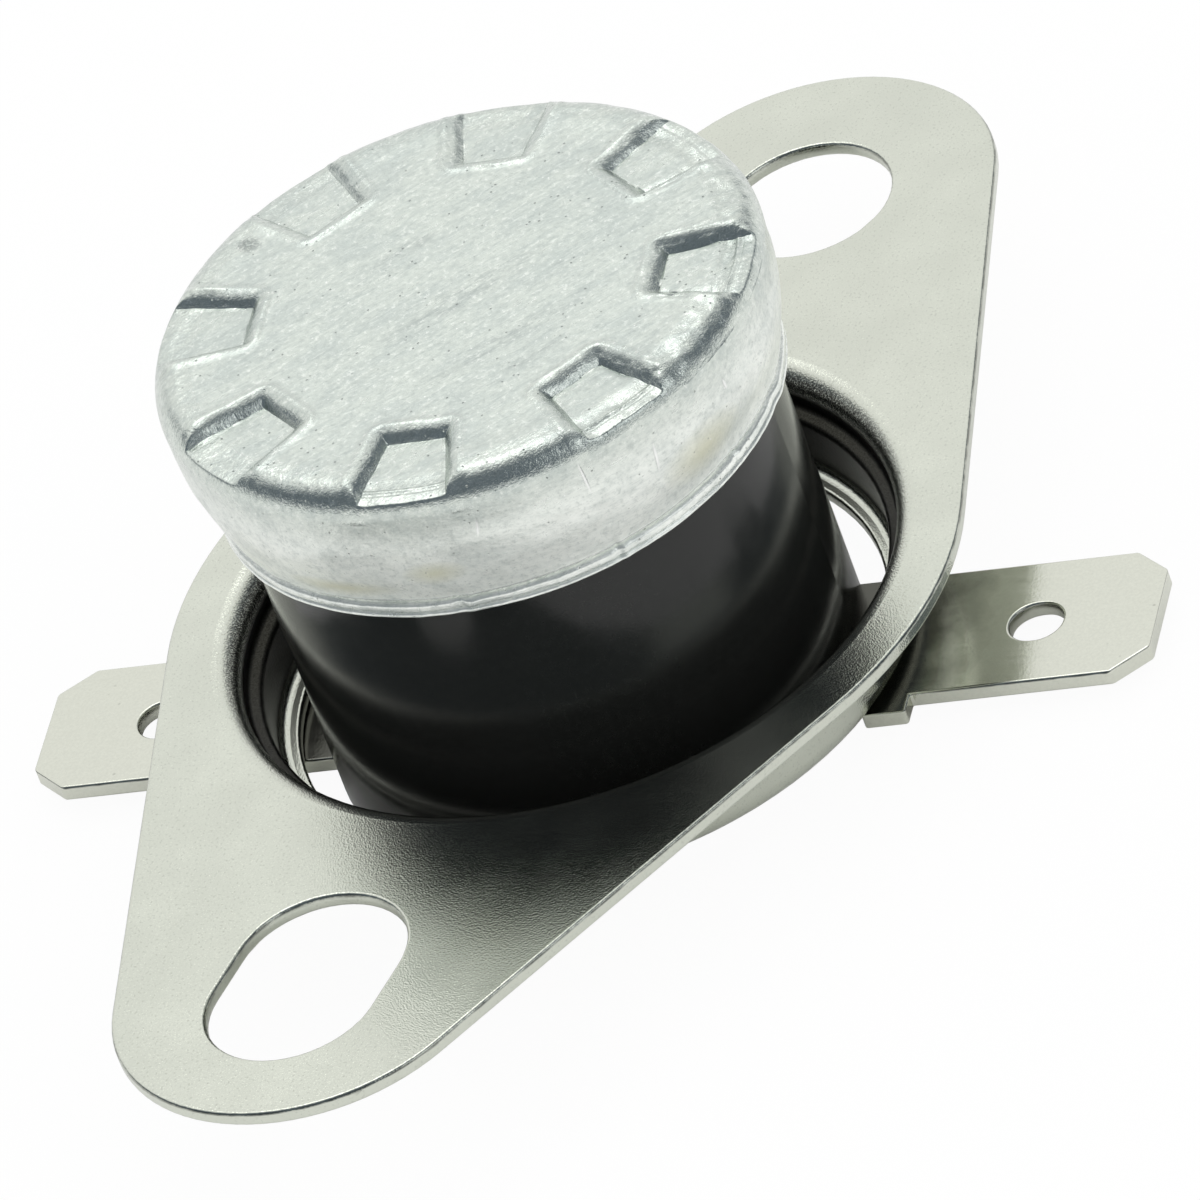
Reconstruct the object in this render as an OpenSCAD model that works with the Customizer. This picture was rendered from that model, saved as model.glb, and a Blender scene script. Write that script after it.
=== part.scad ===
// Snap-disc thermostat for a microwave oven: a drawn aluminium cap crimped over a moulded
// base, with a loose mounting bracket and two blade terminals in line.
// The origin is the centre of the base's underside. Z points up, towards the sensing face.
// The bracket's long axis lies along X.

/* [Overall] */
// Height from the base's underside to the sensing face
overall_h = 13.7; // [12.5:0.1:15.5]
// Clearance between fixed round pieces that sit in each other
fit_gap = 0.03; // [0.02:0.01:0.05]
// Turn of the terminals' line from the X axis
terminal_turn = -75; // [-180:1:180]

/* [Cap] */
// Outer diameter of the cap
cap_d = 16.2; // [15.8:0.1:17]
// Height of the cap from its crimped rim to the sensing face
cap_h = 4.55; // [4.2:0.05:5.2]
// Sheet thickness of the cap
cap_wall = 0.4; // [0.3:0.05:0.45]
// Radius of the cap's rounded top edge
cap_edge_r = 0.8; // [0.55:0.05:1]
// Height of the straight side below the sensing face
cap_side_h = 1.9; // [1.5:0.1:2.3]
// Height of the rolled band along the rim
band_h = 0.6; // [0.4:0.05:0.8]
// How far the rolled band bulges out
band_bulge = 0.07; // [0.03:0.01:0.12]
// Depth of the crease above the rolled band
crease_depth = 0.05; // [0.02:0.01:0.08]

/* [Cap dimples] */
// Number of pressed dimples round the top edge
dimple_count = 8; // [6:1:10]
// Direction of the first dimple
dimple_turn = 16; // [0:1:44]
// Distance of a dimple's inner end from the axis
dimple_inner_r = 5.45; // [5.4:0.05:6]
// Width of a dimple at its inner end
dimple_inner_w = 1.8; // [1.6:0.1:2.2]
// Spread of each dimple side from the radial direction
dimple_spread = 10; // [0:1:12]
// Depth of a dimple
dimple_depth = 0.35; // [0.25:0.05:0.4]
// Slope of a dimple's walls from upright
dimple_slope = 35; // [20:1:45]

/* [Bimetal disc] */
// Diameter of the disc
disc_d = 12.6; // [12:0.1:12.8]
// Thickness of the disc
disc_t = 0.2; // [0.15:0.01:0.25]
// How far the dished centre stands above the disc's edge
disc_rise = 0.2; // [0.1:0.05:0.25]
// Play above and beside the disc
disc_play = 0.08; // [0.06:0.01:0.12]

/* [Pin guide] */
// Thickness of the guide's plate under the dish
guide_plate_t = 0.9; // [0.6:0.1:1.2]
// Depth of the dish that the disc snaps into
guide_dish_depth = 0.5; // [0.4:0.05:0.7]
// Width of the ledge that the disc's edge rests on
guide_ledge = 0.5; // [0.3:0.1:0.8]
// Diameter of the boss round the pin
guide_boss_d = 3.4; // [3:0.1:4]
// Length of the boss below the plate
guide_boss_h = 1.1; // [0.6:0.1:1.6]

/* [Push pin] */
// Diameter of the ceramic pin
pin_d = 1.9; // [1.6:0.1:2]
// Radial running clearance of the pin in its guide
pin_clearance = 0.05; // [0.03:0.01:0.08]
// Gap between the pin's top and the disc at rest
pin_slack = 0.05; // [0.02:0.01:0.08]
// Chamfer at both ends of the pin
pin_chamfer = 0.15; // [0.05:0.05:0.3]

/* [Base] */
// Outer diameter of the base below the cap
body_d = 14.3; // [14:0.1:14.6]
// Diameter of the contact chamber
chamber_d = 11.8; // [11.4:0.1:12.2]
// Thickness of the floor between the terminals and the chamber
floor_t = 1.9; // [1.4:0.1:2.4]
// Chamfer round the underside
base_chamfer = 0.3; // [0.1:0.05:0.4]
// Side clearance of a terminal in its groove
groove_gap = 0.1; // [0.05:0.05:0.2]
// Height of the pad that carries the leaf above the floor
pad_h = 1.5; // [1.3:0.1:1.9]
// Diameter of that pad
pad_d = 4.2; // [3.6:0.1:4.4]

/* [Terminals] */
// Width of the blades
tab_w = 4.75; // [4.5:0.05:5]
// Thickness of the blades
tab_t = 0.45; // [0.4:0.05:0.5]
// Distance of a blade's tip from the axis
tab_reach = 15.25; // [14.5:0.05:16]
// Length of the chamfers at a blade's tip
tip_chamfer_l = 0.95; // [0.5:0.05:1.2]
// Width of the chamfers at a blade's tip
tip_chamfer_w = 0.85; // [0.4:0.05:1]
// Diameter of the hole in a blade
tab_hole_d = 1.45; // [1.2:0.05:1.7]
// Distance of that hole from the tip
tab_hole_inset = 3.3; // [2.8:0.1:4]
// Width across a terminal's two shoulders
shoulder_w = 6.1; // [5.4:0.1:6.6]
// Length of the shoulders
shoulder_l = 1.2; // [0.8:0.1:1.6]
// Distance of the shoulders' outer end from the axis
shoulder_reach = 8.95; // [8.8:0.05:9.6]
// Height of the terminals' underside above the base's underside
terminal_lift = 0.45; // [0.4:0.05:0.6]
// Distance between the inner ends of the two terminals
terminal_gap = 2.6; // [2.2:0.1:3]

/* [Rivets] */
// Distance between the two rivets
rivet_pitch = 7.2; // [7:0.1:7.4]
// Diameter of a rivet's shank
rivet_d = 1.9; // [1.6:0.1:2.1]
// Diameter of the hole through a rivet
rivet_bore_d = 1.1; // [0.7:0.1:1.2]
// Diameter of the head under a terminal
rivet_head_d = 3.6; // [3:0.1:3.8]
// Thickness of that head
rivet_head_t = 0.35; // [0.25:0.05:0.38]
// Diameter of the rolled collar inside the chamber
rivet_roll_d = 2.5; // [2.3:0.1:2.5]
// Height of that rolled collar
rivet_roll_h = 0.25; // [0.15:0.05:0.3]

/* [Contacts] */
// Thickness of the contact leaf
leaf_t = 0.2; // [0.12:0.01:0.25]
// Width of the leaf at its root
leaf_root_w = 3.2; // [2.8:0.1:3.6]
// Width of the leaf at its tip
leaf_tip_w = 2.4; // [2.2:0.1:2.6]
// Distance of the contacts from the axis
contact_x = 2.3; // [2.2:0.05:2.4]
// Diameter of the contacts
contact_d = 2; // [1.6:0.1:2.1]
// Thickness of one contact
contact_t = 0.35; // [0.25:0.05:0.45]
// Diameter of a contact's shank
contact_shank_d = 1; // [0.8:0.1:1.2]
// Height of a contact's closed end
contact_tail_h = 0.12; // [0.08:0.02:0.16]
// Thickness of the fixed contact's strip
strip_t = 0.3; // [0.2:0.05:0.35]
// Width of that strip
strip_w = 3; // [2.6:0.1:3.2]
// Distance of the strip's riser from the axis, to its outer face
riser_x = 5.3; // [5.25:0.05:5.4]
// Gap between the strip's end and the pin
strip_pin_gap = 0.3; // [0.2:0.05:0.35]

/* [Bracket] */
// Sheet thickness of the bracket
sheet_t = 0.4; // [0.3:0.05:0.45]
// Distance between the two fixing holes
hole_pitch = 30.6; // [29:0.1:33]
// Radius of the ears
ear_r = 5.15; // [4.8:0.05:5.8]
// Diameter of the flange's middle
middle_d = 21.4; // [20.6:0.1:23]
// Diameter of the round fixing hole, and width of the slot
hole_d = 4.6; // [4:0.1:4.8]
// Length of the slot
slot_l = 6.2; // [5.4:0.1:6.6]
// Height of the bracket from the lip's underside to the flange's face
collar_h = 3.1; // [2.8:0.1:3.4]
// Clearance of the lip round the base
lip_gap = 0.75; // [0.65:0.05:0.8]
// Width of the inward lip
lip_w = 0.5; // [0.35:0.05:0.6]
// Width of the collar's ledge
ledge_w = 0.4; // [0.3:0.05:0.5]
// Radius of the bend from the flange into the collar
flange_bend_r = 0.65; // [0.55:0.05:0.75]
// Depth of the ledge below the flange's face
ledge_depth = 1.05; // [0.95:0.05:1.2]
// Inside radius of the bend from the collar into the lip
lip_bend_r = 0.25; // [0.1:0.05:0.3]

/* [Hidden] */
$fn = 96;
// Cutters run past the surface that they open by this much
cut_past = 1;
// Flat rim of the collar that lies in the flange and joins the two into one sheet
seam_w = 0.15;
// Power of the curve by which the skirt draws in
skirt_power = 1.4;
// Steps of that curve
skirt_steps = 6;

// Radii
cap_r = cap_d / 2;
body_r = body_d / 2;
rim_r = body_r + fit_gap + cap_wall;
lip_r = body_r + lip_gap;
collar_r = lip_r + lip_w;
throat_r = collar_r + ledge_w;

// Levels, from the underside up
terminal_z = terminal_lift;
terminal_top_z = terminal_z + tab_t;
floor_z = terminal_top_z + floor_t;
pad_z = floor_z + pad_h;
leaf_top_z = pad_z + leaf_t;
strip_z = leaf_top_z + 2 * contact_t;
cap_inner_z = overall_h - cap_wall;
boss_z = cap_inner_z - dimple_depth;
disc_seat_z = boss_z - disc_t - disc_play;
dish_z = disc_seat_z - guide_dish_depth;
base_top_z = dish_z - guide_plate_t;
pin_top_z = disc_seat_z + disc_rise - pin_slack;
rim_z = overall_h - cap_h;
crease_z = rim_z + band_h;
skirt_top_z = overall_h - cap_side_h;
bracket_z = terminal_top_z;

// Radius of the guide's and the base's top, inside the cap
seat_r = min(cap_r, skirt_r(min(base_top_z, skirt_top_z))) - cap_wall - fit_gap;

// Points along an arc in a plane
function arc(x, y, r, from, to, steps) =
    [for (i = [0:steps]) let (a = from + (to - from) * i / steps) [x + r * cos(a), y + r * sin(a)]];

// Radius of the cap's outside between the straight side and the crease
function skirt_r(z) =
    cap_r - (cap_r - rim_r) * pow((skirt_top_z - z) / (skirt_top_z - crease_z), skirt_power);

// Points down the skirt, moved inwards by an offset, and the same points from the bottom up
function skirt(inset) =
    [for (i = [0:skirt_steps]) let (z = skirt_top_z - (skirt_top_z - crease_z) * i / skirt_steps)
        [skirt_r(z) - inset, z]];
function skirt_upwards(inset) = [for (i = [skirt_steps:-1:0]) skirt(inset)[i]];

module cap_section() {
    inner_edge_r = cap_edge_r - cap_wall;
    outside = concat(
        [[0, overall_h]],
        arc(cap_r - cap_edge_r, overall_h - cap_edge_r, cap_edge_r, 90, 0, 8),
        skirt(0),
        [[rim_r - crease_depth, crease_z - 0.1 * band_h],
         [rim_r + band_bulge, crease_z - 0.35 * band_h],
         [rim_r + band_bulge, rim_z + 0.25 * band_h],
         [rim_r - cap_wall / 2, rim_z]]);
    inside = concat(
        [[rim_r - cap_wall, rim_z]],
        skirt_upwards(cap_wall),
        arc(cap_r - cap_edge_r, overall_h - cap_edge_r, inner_edge_r, 0, 90, 4),
        [[0, cap_inner_z]]);
    polygon(concat(outside, inside));
}

// The wedge between two upright planes, an end plane and a floor, open at the rim and the top
module dimple_space(floor_level, grow) {
    reach = cap_r + cut_past;
    intersection() {
        translate([dimple_inner_r - grow, 0, floor_level + dimple_depth])
            rotate([0, -dimple_slope, 0])
                translate([0, -cap_r, -cap_r])
                    cube([2 * cap_r, 2 * cap_r, 2 * cap_r]);
        translate([dimple_inner_r, -dimple_inner_w / 2 - grow, floor_level + dimple_depth])
            rotate([0, 0, -dimple_spread])
                rotate([dimple_slope, 0, 0])
                    translate([-cap_r, 0, -cap_r])
                        cube([3 * cap_r, 2 * cap_r, 2 * cap_r]);
        translate([dimple_inner_r, dimple_inner_w / 2 + grow, floor_level + dimple_depth])
            rotate([0, 0, dimple_spread])
                rotate([-dimple_slope, 0, 0])
                    translate([-cap_r, -2 * cap_r, -cap_r])
                        cube([3 * cap_r, 2 * cap_r, 2 * cap_r]);
        translate([0, -reach, floor_level])
            cube([reach, 2 * reach, cap_edge_r + cut_past]);
    }
}

module dimples(floor_level, grow = 0) {
    for (i = [0:dimple_count - 1])
        rotate(dimple_turn + 360 * i / dimple_count)
            dimple_space(floor_level, grow);
}

module cap() {
    color("silver")
        difference() {
            union() {
                rotate_extrude() cap_section();
                intersection() {
                    dimples(boss_z, cap_wall / 2);
                    translate([0, 0, boss_z])
                        cylinder(r = cap_r - cap_wall / 2, h = cap_wall / 2 + dimple_depth);
                }
            }
            dimples(overall_h - dimple_depth);
        }
}

// Height of the dished disc above its edge at a distance from the axis
function dish(r) = disc_rise * (1 - pow(2 * r / disc_d, 2));

module bimetal_disc() {
    steps = 8;
    radii = [for (i = [0:steps]) disc_d / 2 * i / steps];
    underside = [for (r = radii) [r, disc_seat_z + dish(r)]];
    top = [for (i = [steps:-1:0]) [radii[i], disc_seat_z + dish(radii[i]) + disc_t]];
    color("goldenrod")
        rotate_extrude()
            polygon(concat(underside, top));
}

module pin_guide() {
    recess_r = disc_d / 2 + disc_play;
    dish_r = recess_r - guide_ledge;
    color("saddlebrown")
        difference() {
            union() {
                translate([0, 0, base_top_z])
                    cylinder(r = seat_r, h = boss_z - base_top_z);
                translate([0, 0, base_top_z - guide_boss_h])
                    cylinder(d = guide_boss_d, h = guide_boss_h + guide_plate_t / 2);
            }
            translate([0, 0, disc_seat_z])
                cylinder(r = recess_r, h = cut_past);
            translate([0, 0, dish_z])
                cylinder(r = dish_r, h = guide_dish_depth + cut_past);
            translate([0, 0, base_top_z - guide_boss_h - cut_past])
                cylinder(d = pin_d + 2 * pin_clearance, h = overall_h);
        }
}

module push_pin() {
    pin_r = pin_d / 2;
    color("white")
        rotate_extrude()
            polygon([[0, leaf_top_z], [pin_r - pin_chamfer, leaf_top_z], [pin_r, leaf_top_z + pin_chamfer],
                [pin_r, pin_top_z - pin_chamfer], [pin_r - pin_chamfer, pin_top_z], [0, pin_top_z]]);
}

// Outside of the base: plain below the rim, and following the cap's crimp above it
module base_section() {
    polygon(concat(
        [[0, 0], [body_r - base_chamfer, 0], [body_r, base_chamfer]],
        [[body_r, rim_z]],
        [for (p = skirt_upwards(cap_wall + fit_gap)) if (p[1] < base_top_z) p],
        [[seat_r, base_top_z], [0, base_top_z]]));
}

module base() {
    groove_w = tab_w + 2 * groove_gap;
    groove_start = terminal_gap / 2 - groove_gap;
    color("black")
        rotate(terminal_turn)
            difference() {
                union() {
                    difference() {
                        rotate_extrude() base_section();
                        translate([0, 0, floor_z])
                            cylinder(d = chamber_d, h = overall_h);
                    }
                    intersection() {
                        translate([rivet_pitch / 2, 0, floor_z - floor_t / 2])
                            cylinder(d = pad_d, h = floor_t / 2 + pad_h);
                        cylinder(d = chamber_d + 2 * fit_gap, h = overall_h);
                    }
                }
                for (side = [0, 180])
                    rotate(side) {
                        translate([groove_start, -groove_w / 2, -cut_past])
                            cube([body_r, groove_w, terminal_top_z + cut_past]);
                        translate([rivet_pitch / 2, 0, 0])
                            cylinder(d = rivet_d + 2 * fit_gap, h = overall_h);
                    }
            }
}

module terminal_outline() {
    half = tab_w / 2;
    shoulder = shoulder_w / 2;
    shoulder_start = shoulder_reach - shoulder_l;
    edge = [[terminal_gap / 2, half], [shoulder_start, half], [shoulder_start, shoulder],
        [shoulder_reach, shoulder], [shoulder_reach, half], [tab_reach - tip_chamfer_l, half],
        [tab_reach, half - tip_chamfer_w]];
    last = len(edge) - 1;
    polygon(concat(edge, [for (i = [last:-1:0]) [edge[i][0], -edge[i][1]]]));
}

module terminal() {
    color("lightgray")
        difference() {
            translate([0, 0, terminal_z])
                linear_extrude(tab_t) terminal_outline();
            translate([tab_reach - tab_hole_inset, 0, 0])
                cylinder(d = tab_hole_d, h = overall_h);
            translate([rivet_pitch / 2, 0, 0])
                cylinder(d = rivet_d + 2 * fit_gap, h = overall_h);
        }
}

module terminal_right() {
    rotate(terminal_turn) terminal();
}

module terminal_left() {
    rotate(terminal_turn + 180) terminal();
}

// A hollow rivet from the head under the terminal to a collar rolled over what it holds
module rivet(clamp_z) {
    shank_r = rivet_d / 2;
    bore_r = rivet_bore_d / 2;
    head_r = rivet_head_d / 2;
    head_z = terminal_z - rivet_head_t;
    roll_r = (rivet_roll_d / 2 - bore_r) / 2;
    roll_h = rivet_roll_h;
    color("gainsboro")
        translate([rivet_pitch / 2, 0, 0])
            rotate_extrude()
                polygon(concat(
                    [[bore_r, head_z], [head_r - rivet_head_t / 2, head_z],
                     [head_r, head_z + rivet_head_t / 2], [head_r, terminal_z], [shank_r, terminal_z],
                     [shank_r, clamp_z], [rivet_roll_d / 2, clamp_z]],
                    [for (a = [20:20:160])
                        [bore_r + roll_r + roll_r * cos(a), clamp_z + roll_h * sin(a)]],
                    [[bore_r, clamp_z]]));
}

module rivet_right() {
    rotate(terminal_turn) rivet(leaf_top_z);
}

module rivet_left() {
    rotate(terminal_turn + 180) rivet(floor_z + strip_t);
}

// A contact with a head, a shank through its carrier and a closed end, head upwards
module contact(carrier_t) {
    tail_d = contact_shank_d + 2 * contact_tail_h;
    color("whitesmoke")
        union() {
            cylinder(d = contact_d, h = contact_t);
            translate([0, 0, -carrier_t])
                cylinder(d = contact_shank_d, h = carrier_t);
            translate([0, 0, -carrier_t - contact_tail_h])
                cylinder(d = tail_d, h = contact_tail_h);
        }
}

module contact_leaf() {
    root_half = leaf_root_w / 2;
    tip_half = leaf_tip_w / 2;
    root_x = rivet_pitch / 2 + root_half;
    neck_x = rivet_pitch / 2 - root_half;
    color("peru")
        rotate(terminal_turn)
            difference() {
                translate([0, 0, pad_z])
                    linear_extrude(leaf_t)
                        polygon(concat(
                            [[neck_x - tip_half, -tip_half], [neck_x, -root_half]],
                            arc(rivet_pitch / 2, 0, root_half, -90, 90, 16),
                            [[neck_x, root_half], [neck_x - tip_half, tip_half]],
                            arc(-contact_x, 0, tip_half, 90, 270, 16)));
                translate([rivet_pitch / 2, 0, 0])
                    cylinder(d = rivet_d + 2 * fit_gap, h = overall_h);
                translate([-contact_x, 0, 0])
                    cylinder(d = contact_shank_d + 2 * fit_gap, h = overall_h);
            }
}

module moving_contact() {
    rotate(terminal_turn)
        translate([-contact_x, 0, leaf_top_z])
            contact(leaf_t);
}

module fixed_strip() {
    half = strip_w / 2;
    arm_end = pin_d / 2 + strip_pin_gap;
    arm_top = strip_z + strip_t;
    foot_end = rivet_pitch / 2 - half;
    color("darkgoldenrod")
        rotate(terminal_turn)
            difference() {
                rotate([90, 0, 0])
                    translate([0, 0, -half])
                        linear_extrude(strip_w)
                            polygon([[-foot_end, floor_z], [-riser_x, floor_z], [-riser_x, arm_top],
                                [-arm_end, arm_top], [-arm_end, strip_z], [-riser_x + strip_t, strip_z],
                                [-riser_x + strip_t, floor_z + strip_t], [-foot_end, floor_z + strip_t]]);
                translate([-rivet_pitch / 2, 0, floor_z - cut_past])
                    cylinder(d = rivet_d + 2 * fit_gap, h = cut_past + 2 * strip_t);
                translate([-contact_x, 0, strip_z - cut_past])
                    cylinder(d = contact_shank_d + 2 * fit_gap, h = 2 * cut_past);
            }
}

module fixed_contact() {
    rotate(terminal_turn)
        translate([-contact_x, 0, strip_z])
            mirror([0, 0, 1])
                contact(strip_t);
}

// Flange outline: two ears and a larger middle, joined by their common tangents
module flange_outline() {
    ear_x = hole_pitch / 2;
    middle_r = middle_d / 2;
    tangent = acos((middle_r - ear_r) / ear_x);
    polygon(concat(
        arc(ear_x, 0, ear_r, -tangent, tangent, 32),
        arc(0, 0, middle_r, tangent, 180 - tangent, 16),
        arc(-ear_x, 0, ear_r, 180 - tangent, 180 + tangent, 32),
        arc(0, 0, middle_r, 180 + tangent, 360 - tangent, 16)));
}

// Section of the drawn collar, from the flange down a rounded ledge to the inward lip
module collar_section() {
    top = collar_h;
    bend = flange_bend_r;
    outer_bend = lip_bend_r + sheet_t;
    bend_r = throat_r + bend;
    flat_r = bend_r + seam_w;
    ledge_z = top - ledge_depth;
    ledge_round = ledge_w / 2;
    ledge_x = throat_r - ledge_round;
    outer_round = ledge_round + sheet_t;
    outer_turn = acos((sheet_t - ledge_round) / outer_round);
    inside = concat(
        [[flat_r, top]],
        arc(bend_r, top - bend, bend, 90, 180, 8),
        arc(ledge_x, ledge_z + ledge_round, ledge_round, 0, -90, 4),
        arc(ledge_x, ledge_z - ledge_round, ledge_round, 90, 180, 4),
        arc(collar_r - lip_bend_r, sheet_t + lip_bend_r, lip_bend_r, 0, -90, 4),
        [[lip_r, sheet_t]]);
    outside = concat(
        [[lip_r, 0]],
        arc(collar_r - lip_bend_r, outer_bend, outer_bend, -90, 0, 6),
        arc(ledge_x, ledge_z + ledge_round, outer_round, -outer_turn, 0, 4),
        [[throat_r + sheet_t, top - bend]],
        arc(bend_r, top - bend, bend - sheet_t, 180, 90, 4),
        [[flat_r, top - sheet_t]]);
    polygon(concat(inside, outside));
}

module bracket() {
    bend_start = throat_r + flange_bend_r;
    color("gainsboro")
        translate([0, 0, bracket_z]) {
            difference() {
                translate([0, 0, collar_h - sheet_t])
                    linear_extrude(sheet_t) flange_outline();
                cylinder(r = bend_start, h = 2 * collar_h);
                translate([hole_pitch / 2, 0, 0])
                    cylinder(d = hole_d, h = 2 * collar_h);
                for (end = [-1, 1])
                    translate([-hole_pitch / 2 + end * (slot_l - hole_d) / 2, 0, 0])
                        cylinder(d = hole_d, h = 2 * collar_h);
                translate([-hole_pitch / 2 - (slot_l - hole_d) / 2, -hole_d / 2, 0])
                    cube([slot_l - hole_d, hole_d, 2 * collar_h]);
            }
            rotate_extrude() collar_section();
        }
}

cap();
bimetal_disc();
pin_guide();
push_pin();
base();
terminal_right();
terminal_left();
rivet_right();
rivet_left();
contact_leaf();
moving_contact();
fixed_strip();
fixed_contact();
bracket();
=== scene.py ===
"""The looks of a snap-disc oven thermostat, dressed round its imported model."""

import math

import bpy
from mathutils import Matrix, Vector, noise


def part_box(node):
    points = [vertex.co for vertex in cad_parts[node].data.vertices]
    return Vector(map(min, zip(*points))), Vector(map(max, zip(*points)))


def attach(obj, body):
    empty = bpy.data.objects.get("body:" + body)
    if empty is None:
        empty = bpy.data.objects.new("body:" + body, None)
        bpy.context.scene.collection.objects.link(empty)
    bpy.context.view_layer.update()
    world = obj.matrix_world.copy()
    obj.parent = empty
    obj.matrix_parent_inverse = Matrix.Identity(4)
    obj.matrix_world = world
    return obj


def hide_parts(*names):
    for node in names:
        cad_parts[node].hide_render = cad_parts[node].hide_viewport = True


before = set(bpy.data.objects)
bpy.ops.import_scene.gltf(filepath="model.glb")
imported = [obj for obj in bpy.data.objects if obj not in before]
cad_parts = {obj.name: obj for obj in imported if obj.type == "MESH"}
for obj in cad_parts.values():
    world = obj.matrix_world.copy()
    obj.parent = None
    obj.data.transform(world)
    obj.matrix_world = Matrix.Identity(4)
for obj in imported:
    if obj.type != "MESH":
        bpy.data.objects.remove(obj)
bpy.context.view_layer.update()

MM = 0.001

# Camera, from the photograph's angle: a long lens that looks down at the part and leans to one side
AIM = Vector((-2.81, -3.18, 6.0)) * MM
CAMERA_DISTANCE = 444.1 * MM
CAMERA_AZIMUTH = -141.4
CAMERA_ELEVATION = 36.03
CAMERA_ROLL = -20.9
CAMERA_LENS = 524.2
CAMERA_CLIPS = (0.05, 10)

# Colours, as linear values
ALUMINIUM = (0.635, 0.685, 0.632)
# Burnished metal, also laid on the cap's side and skirt as painted light
BURNISH_AND_LIGHT = (0.93, 0.96, 0.91)
SMUDGE = (0.5, 0.555, 0.53)
# Colour of a painted warm reflection on the cap's skirt
WARM_REFLECTION = (0.76, 0.755, 0.58)
# Near-white of a painted glint, a tiny highlight
PAINTED_GLINT = (0.97, 0.98, 0.96)
SCRATCH = (0.95, 0.96, 0.94)
NICKEL = (0.66, 0.685, 0.605)
BRIGHT_NICKEL = (0.7, 0.715, 0.63)
# Near-black painted shade, laid in the collar, at its throat and at the blades' roots
PAINTED_SHADE = (0.018, 0.017, 0.013)
PHENOLIC = (0.012, 0.013, 0.012)
DUST = (0.4, 0.4, 0.38)
GUIDE_BROWN = (0.2, 0.09, 0.04)
CERAMIC = (0.82, 0.8, 0.74)
BIMETAL = (0.6, 0.52, 0.4)
BRONZE = (0.72, 0.42, 0.22)
BRASS = (0.76, 0.58, 0.26)
SILVER = (0.85, 0.84, 0.8)

# Surround: its colour for the eye, its light on matt surfaces, and what reflections find. They find it
# bright low down all round and on the far side, and dark where the ceiling and the camera's side are.
SEEN_SURROUND = (1, 1, 1)
MATT_LIGHT = (0.92, 0.92, 0.92)
BRIGHT_STUDIO = (1, 1, 1)
DARK_STUDIO = (0.13, 0.155, 0.185)
# The bright far side: the elevation of its middle, and how far from there it starts to fade in and is full
FAR_ELEVATION = 47
FAR_REACH = (49, 36)
# The bright low part: elevations where it starts to fade in and is full
LOW_REACH = (17, 6)

# Floor: the share of its white that doesn't depend on its light, for the camera, its gap to the part in
# millimetres, and its size in metres
FLOOR_WHITE = (0.93, 0.93, 0.93)
FLOOR_ROUGHNESS = 0.9
FLOOR_GLOW = 0.95
FLOOR_GAP = 0.02
FLOOR_SIZE = 3.0

# Edges of the CAD nodes: their radii and the gap between split corners in millimetres, and the angle from
# which an edge is rounded
BRACKET_EDGE_R = 0.1
BLADE_EDGE_R = 0.08
CORNER_GAP = 0.0001
EDGE_SEGMENTS = 3
EDGE_FROM = 35

# Line of the two terminals, and of the cap's rolling streaks
TERMINAL_TURN = -75
STREAK_TURN = -35

# Zones of the bracket's material, in millimetres from the axis or above the base's underside. Each pair is
# where a zone fades in or out: the ledge and wall of the collar, painted near-black as shade, its throat, whose
# bend gets a grain of painted shade, and the flange.
LEDGE_Z = (2.7, 2.8)
LIP_Z = (1.35, 1.6)
THROAT_FOOT_Z = (3.3, 3.5)
LEDGE_R = (8.8, 8.84)
WALL_R = (8.58, 8.64)
BEND_R = (9.55, 9.1)
BEND_Z = (3.0, 3.3)
PEEL_R = (9.2, 8.95)
PEEL_Z = (3.2, 3.4)
FLANGE_R = (9.6, 9.7)

# Painted shade on the upper face at the root of a blade: radii where it is full and gone, how far they wander,
# and its strength
ROOT_R = (9.1, 10.7)
ROOT_WANDER = 0.3
ROOT_SHADE = 0.88
PHENOLIC_SPECULAR = 0.38

# Finishes of the parts that no view shows: colour, metallic, roughness, and the grain's size and depth
INNER_FINISHES = {
    "bimetal": (BIMETAL, 1.0, 0.3, 0.3, 0.004),
    "phenolic_guide": (GUIDE_BROWN, 0.0, 0.5, 0.3, 0.01),
    "ceramic_pin": (CERAMIC, 0.0, 0.5, 0.15, 0.004),
    "spring_bronze": (BRONZE, 1.0, 0.25, 0.3, 0.003),
    "brass_strip": (BRASS, 1.0, 0.25, 0.3, 0.003),
    "silver_contact": (SILVER, 1.0, 0.25, 0.2, 0.004),
}
# Each of those parts and its finish
INNER_PARTS = {
    "bimetal_disc": "bimetal",
    "pin_guide": "phenolic_guide",
    "push_pin": "ceramic_pin",
    "contact_leaf": "spring_bronze",
    "fixed_strip": "brass_strip",
    "moving_contact": "silver_contact",
    "fixed_contact": "silver_contact",
}

# The cap, in millimetres and degrees. Its radius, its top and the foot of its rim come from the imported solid.
CAP_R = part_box("cap")[1][0] / MM
CAP_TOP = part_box("cap")[1][2] / MM
RIM_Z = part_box("cap")[0][2] / MM
CAP_WALL = 0.4
CAP_SHARP_FROM = 32
# Rounded edge, and the radius where it starts
EDGE_R = 0.8
EDGE_START_R = CAP_R - EDGE_R
# The skirt tapers from its top to the crease, faster and faster by this power
SKIRT_TOP_Z = 11.8
SKIRT_POWER = 1.4
CREASE_Z = 9.75
CREASE_DEPTH = 0.09
CREASE_W = 0.05
# The rim under the crease: how far it bulges and between which heights, its groove, and its rolled foot
RIM_R = 7.58
RIM_BULGE = 0.07
RIM_BULGE_Z = (CREASE_Z - 0.04, CREASE_Z - 0.14)
RIM_GROOVE = 0.07
RIM_GROOVE_Z = 9.42
RIM_GROOVE_W = 0.035
RIM_FOOT = 0.22
RIM_FOOT_H = 0.16
RIM_FOOT_R = RIM_R - 0.3
RIM_WORKED = 0.6
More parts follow.
